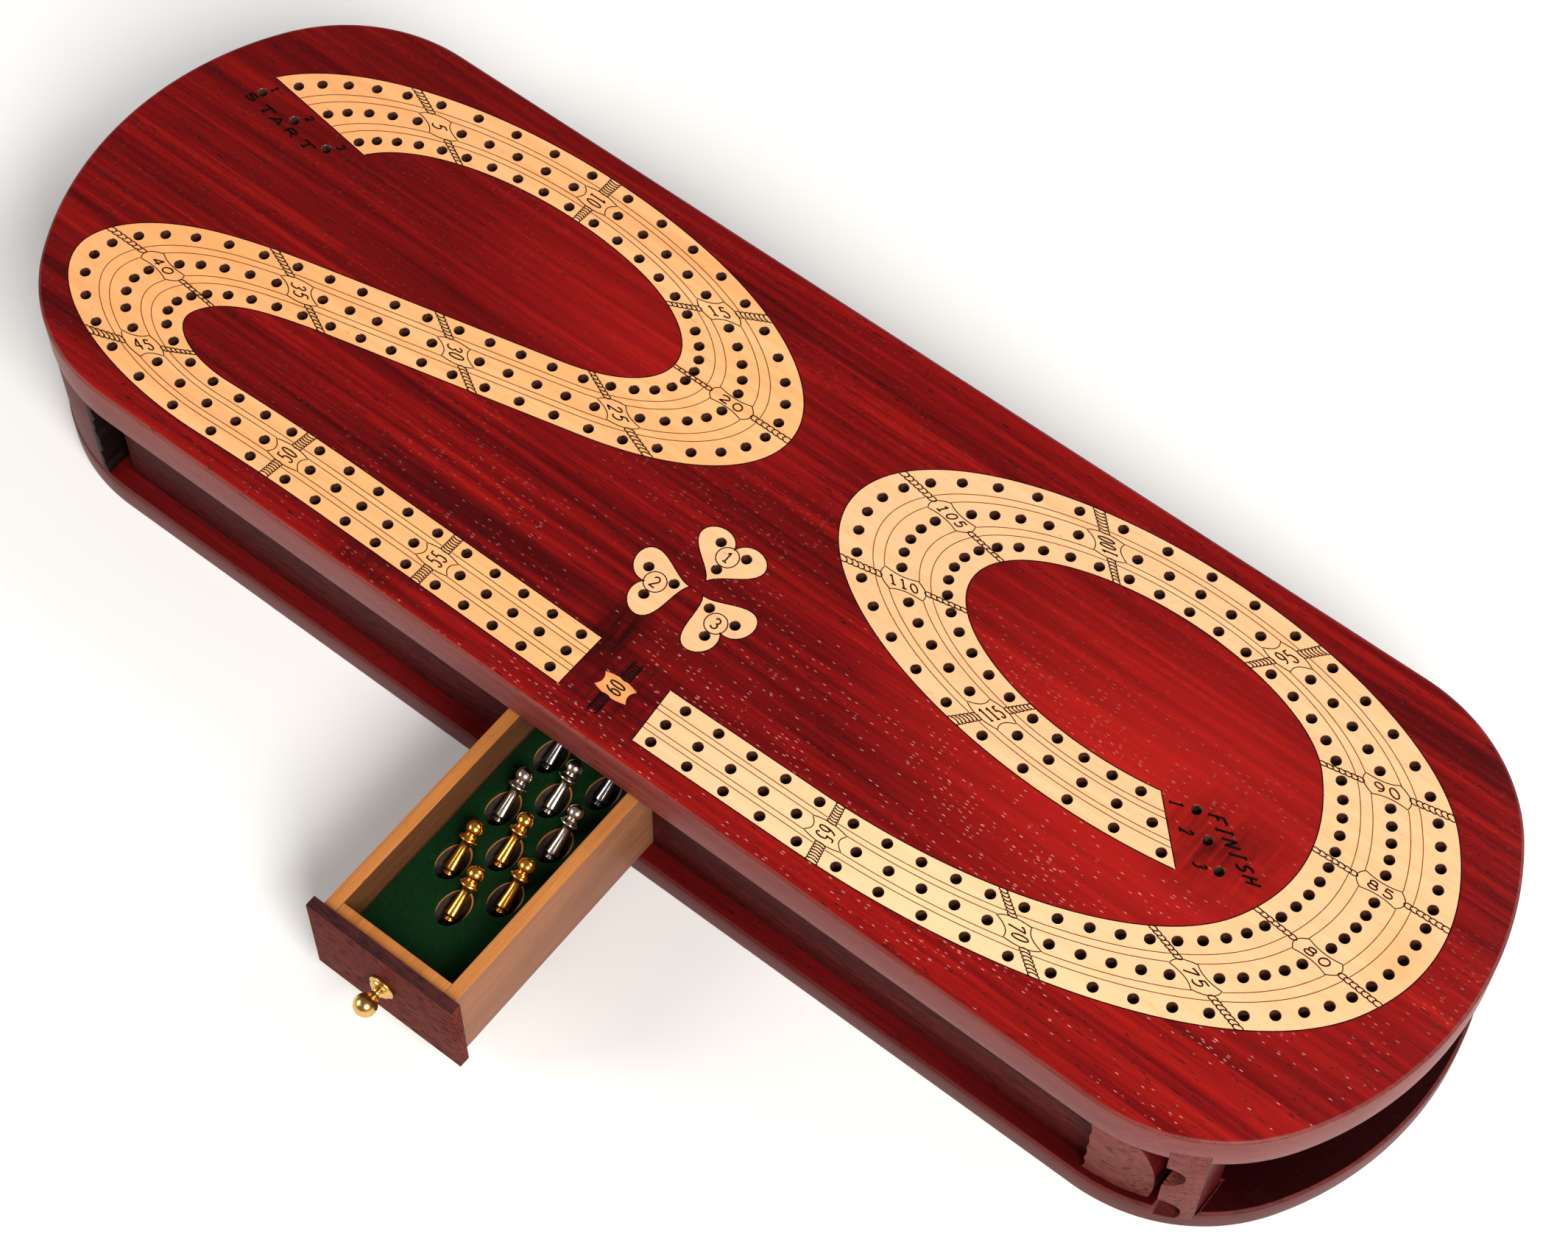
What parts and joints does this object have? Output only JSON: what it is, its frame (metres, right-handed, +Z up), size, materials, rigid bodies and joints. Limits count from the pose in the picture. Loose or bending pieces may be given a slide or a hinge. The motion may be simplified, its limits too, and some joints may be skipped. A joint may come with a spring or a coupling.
{
  "type": "cribbage board",
  "caption": "Two-plate wooden cribbage board with inlaid peg track, pull-out peg drawer in its side, card tray at one end and open card pocket at the other.",
  "frame": {"origin": "centre of the board's underside, on the surface it rests on", "axes": "+X along the board towards the open card pocket, +Y across it away from the peg drawer, +Z up"},
  "size_m": [0.4572, 0.2392, 0.0576],
  "materials": {
    "red_wood": "glossy oiled red hardwood",
    "dark_red_wood": "satin dark red hardwood",
    "rose_wood": "sanded porous pinkish hardwood",
    "maple": "satin maple with burnt lines",
    "orange_maple": "satin orange maple",
    "drawer_wood": "satin",
    "plain_wood": "matte",
    "felt": "short felt nap",
    "brass": "polished",
    "steel": "satin",
    "gold_metal": "polished gold plate",
    "silver_metal": "polished",
    "dark_metal": "dark polished"
  },
  "bodies": {
    "board": {"base_plate": "dark_red_wood", "top_plate": "red_wood", "track_inlay_two": "maple", "track_inlay_nine": "maple", "heart_inlay_one": "maple", "heart_inlay_two": "maple", "heart_inlay_three": "maple", "sixty_inlay": "orange_maple", "front_rail_left": "dark_red_wood", "front_rail_right": "dark_red_wood", "back_rail": "dark_red_wood", "chamber_wall_left": "dark_red_wood", "chamber_wall_right": "dark_red_wood", "drawer_guide_left": "plain_wood", "drawer_guide_right": "plain_wood", "drawer_stop": "plain_wood", "leaf_post_front": "rose_wood", "leaf_post_back": "rose_wood", "catch_post_front": "rose_wood", "catch_post_back": "rose_wood", "base_screws": "brass"},
    "drawer": {"drawer_front": "dark_red_wood", "drawer_inner_front": "drawer_wood", "drawer_side_left": "drawer_wood", "drawer_side_right": "drawer_wood", "drawer_back": "drawer_wood", "drawer_bottom": "drawer_wood", "drawer_knob": "brass", "peg_block": "plain_wood", "felt_pad": "felt", "knob_screw": "steel"},
    "card_tray": {"tray_end_cover": "rose_wood", "tray_floor": "plain_wood", "tray_fence_front": "plain_wood", "tray_fence_back": "plain_wood"},
    "gold_peg_1_body": {"gold_peg_1": "gold_metal"},
    "gold_peg_2_body": {"gold_peg_2": "gold_metal"},
    "gold_peg_3_body": {"gold_peg_3": "gold_metal"},
    "gold_peg_4_body": {"gold_peg_4": "gold_metal"},
    "silver_peg_1_body": {"silver_peg_1": "silver_metal"},
    "silver_peg_2_body": {"silver_peg_2": "silver_metal"},
    "silver_peg_3_body": {"silver_peg_3": "silver_metal"},
    "silver_peg_4_body": {"silver_peg_4": "silver_metal"},
    "dark_peg_1_body": {"dark_peg_1": "dark_metal"},
    "dark_peg_2_body": {"dark_peg_2": "dark_metal"},
    "dark_peg_3_body": {"dark_peg_3": "dark_metal"},
    "dark_peg_4_body": {"dark_peg_4": "dark_metal"}
  },
  "joints": [
    {"name": "drawer_slide", "type": "slide", "parent": "board", "child": "drawer", "axis": [0, -1, 0], "range_m": [-0.0788, 0.012]},
    {"name": "card_tray_slide", "type": "slide", "parent": "board", "child": "card_tray", "axis": [-1, 0, 0], "range_m": [0, 0.06]},
    {"name": "gold_peg_1_lift", "type": "slide", "parent": "drawer", "child": "gold_peg_1_body", "axis": [0, 0.5736, 0.8192], "range_m": [0, 0.006]},
    {"name": "gold_peg_2_lift", "type": "slide", "parent": "drawer", "child": "gold_peg_2_body", "axis": [0, 0.5736, 0.8192], "range_m": [0, 0.006]},
    {"name": "gold_peg_3_lift", "type": "slide", "parent": "drawer", "child": "gold_peg_3_body", "axis": [0, 0.5736, 0.8192], "range_m": [0, 0.006]},
    {"name": "gold_peg_4_lift", "type": "slide", "parent": "drawer", "child": "gold_peg_4_body", "axis": [0, 0.5736, 0.8192], "range_m": [0, 0.006]},
    {"name": "silver_peg_1_lift", "type": "slide", "parent": "drawer", "child": "silver_peg_1_body", "axis": [0, 0.5736, 0.8192], "range_m": [0, 0.006]},
    {"name": "silver_peg_2_lift", "type": "slide", "parent": "drawer", "child": "silver_peg_2_body", "axis": [0, 0.5736, 0.8192], "range_m": [0, 0.006]},
    {"name": "silver_peg_3_lift", "type": "slide", "parent": "drawer", "child": "silver_peg_3_body", "axis": [0, 0.5736, 0.8192], "range_m": [0, 0.006]},
    {"name": "silver_peg_4_lift", "type": "slide", "parent": "drawer", "child": "silver_peg_4_body", "axis": [0, 0.5736, 0.8192], "range_m": [0, 0.006]},
    {"name": "dark_peg_1_lift", "type": "slide", "parent": "drawer", "child": "dark_peg_1_body", "axis": [0, 0.5736, 0.8192], "range_m": [0, 0.006]},
    {"name": "dark_peg_2_lift", "type": "slide", "parent": "drawer", "child": "dark_peg_2_body", "axis": [0, 0.5736, 0.8192], "range_m": [0, 0.006]},
    {"name": "dark_peg_3_lift", "type": "slide", "parent": "drawer", "child": "dark_peg_3_body", "axis": [0, 0.5736, 0.8192], "range_m": [0, 0.006]},
    {"name": "dark_peg_4_lift", "type": "slide", "parent": "drawer", "child": "dark_peg_4_body", "axis": [0, 0.5736, 0.8192], "range_m": [0, 0.006]}
  ]
}
